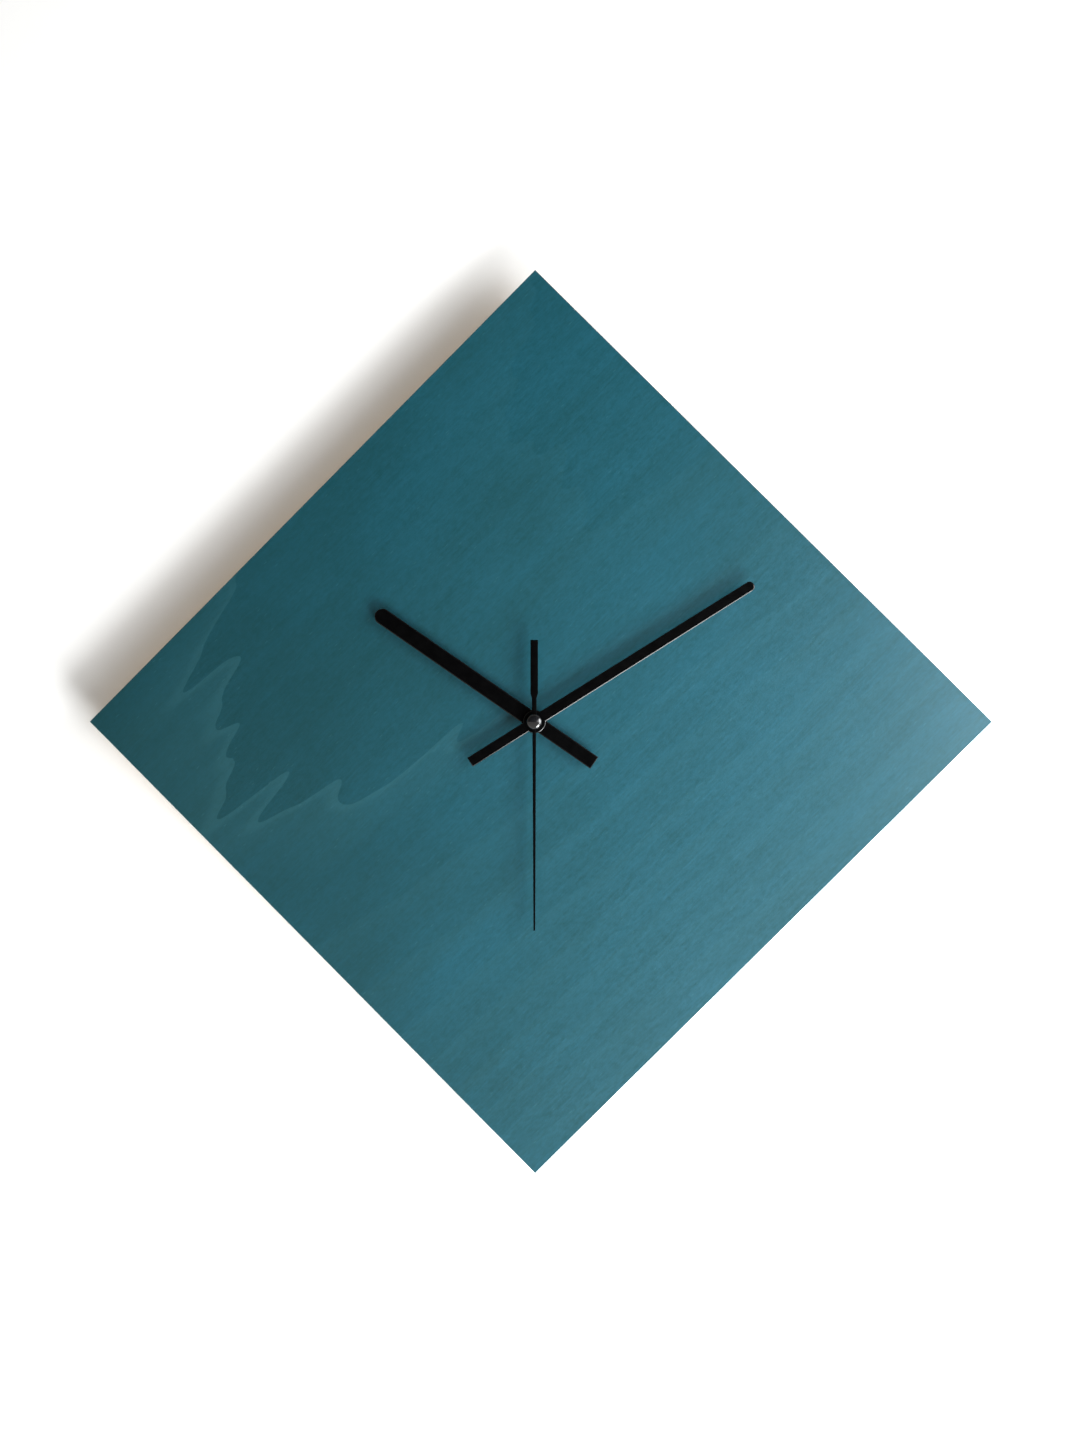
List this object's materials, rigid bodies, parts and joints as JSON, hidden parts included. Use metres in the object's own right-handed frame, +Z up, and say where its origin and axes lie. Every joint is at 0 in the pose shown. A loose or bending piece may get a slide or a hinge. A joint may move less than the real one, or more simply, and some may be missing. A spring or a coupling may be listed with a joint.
{
  "type": "wall clock",
  "caption": "Square wooden wall clock hung on its corner as a diamond, with black bar hands and a battery quartz movement behind the panel.",
  "frame": {"origin": "centre of the movement's rear face, which rests on the wall, on the axis of the hands", "axes": "+Z up, -Y the way the clock looks, +Y into the wall, +X to the right as the clock is read"},
  "size_m": [0.4242, 0.0319, 0.4242],
  "materials": {
    "stained_plywood": "teal stain under satin lacquer",
    "case_plastic": "moulded, fine spark texture",
    "bridge_plastic": "moulded",
    "gear_plastic": "moulded acetal",
    "rubber": "matte",
    "brass": "turned",
    "steel": "turned",
    "nickel_strip": "nickel-plated",
    "battery_jacket": "printed jacket without lettering on a steel can",
    "board_green": "solder mask on glass fibre",
    "chip_epoxy": "cast epoxy",
    "soft_iron": "annealed",
    "copper_wire": "enamelled copper wire",
    "rotor_magnet_grey": "sintered magnet",
    "black_hand_paint": "satin black",
    "black_gloss_paint": "gloss black"
  },
  "bodies": {
    "clock_body": {"dial_panel": "stained_plywood", "movement_case": "case_plastic", "movement_front_cover": "case_plastic", "train_bridge": "bridge_plastic", "rubber_washer": "rubber", "threaded_bushing": "brass", "flat_washer": "steel", "hex_nut": "brass", "battery_cell": "battery_jacket", "negative_contact": "nickel_strip", "positive_contact": "nickel_strip", "circuit_board": "board_green", "timing_chip": "chip_epoxy", "quartz_crystal": "steel", "stator_plate": "soft_iron", "coil_core": "soft_iron", "coil_bobbin": "gear_plastic", "copper_winding": "copper_wire"},
    "minutes": {"minute_hand": "black_hand_paint", "cannon_pinion": "steel", "centre_wheel": "gear_plastic"},
    "hours": {"hour_hand": "black_hand_paint", "hour_wheel": "gear_plastic"},
    "seconds": {"second_hand": "black_hand_paint", "second_hand_collet": "brass", "second_hand_cap": "black_gloss_paint", "seconds_arbor": "steel", "seconds_wheel": "gear_plastic"},
    "third": {"third_wheel": "gear_plastic"},
    "intermediate": {"intermediate_wheel": "gear_plastic"},
    "rotor": {"rotor_pinion": "gear_plastic", "rotor_magnet": "rotor_magnet_grey"},
    "minute_work": {"minute_wheel": "gear_plastic"},
    "setting": {"setting_knob": "gear_plastic"}
  },
  "joints": [
    {"name": "minute_hand_turn", "type": "hinge", "parent": "clock_body", "child": "minutes", "pos_m": [0, 0, 0], "axis": [0, 1, 0], "continuous": true},
    {"name": "hour_hand_turn", "type": "hinge", "parent": "clock_body", "child": "hours", "pos_m": [0, 0, 0], "axis": [0, 1, 0], "continuous": true},
    {"name": "second_hand_turn", "type": "hinge", "parent": "clock_body", "child": "seconds", "pos_m": [0, 0, 0], "axis": [0, 1, 0], "continuous": true},
    {"name": "third_wheel_turn", "type": "hinge", "parent": "clock_body", "child": "third", "pos_m": [-0.00824, 0, 0.00476], "axis": [0, 1, 0], "continuous": true},
    {"name": "intermediate_wheel_turn", "type": "hinge", "parent": "clock_body", "child": "intermediate", "pos_m": [0.00476, 0, 0.00824], "axis": [0, 1, 0], "continuous": true},
    {"name": "rotor_turn", "type": "hinge", "parent": "clock_body", "child": "rotor", "pos_m": [0.01153, 0, 0.01071], "axis": [0, 1, 0], "continuous": true},
    {"name": "minute_wheel_turn", "type": "hinge", "parent": "clock_body", "child": "minute_work", "pos_m": [-0.00773, 0, -0.00207], "axis": [0, 1, 0], "continuous": true},
    {"name": "setting_knob_turn", "type": "hinge", "parent": "clock_body", "child": "setting", "pos_m": [-0.01613, 0, -0.00207], "axis": [0, 1, 0], "continuous": true}
  ],
  "couplings": [
    {"joint": "hour_hand_turn", "follows": "minute_hand_turn", "ratio": 0.083333},
    {"joint": "second_hand_turn", "follows": "minute_hand_turn", "ratio": 60},
    {"joint": "third_wheel_turn", "follows": "minute_hand_turn", "ratio": -8},
    {"joint": "intermediate_wheel_turn", "follows": "minute_hand_turn", "ratio": -360},
    {"joint": "rotor_turn", "follows": "minute_hand_turn", "ratio": 1800},
    {"joint": "minute_wheel_turn", "follows": "minute_hand_turn", "ratio": -0.33333},
    {"joint": "setting_knob_turn", "follows": "minute_hand_turn", "ratio": 0.83333}
  ]
}
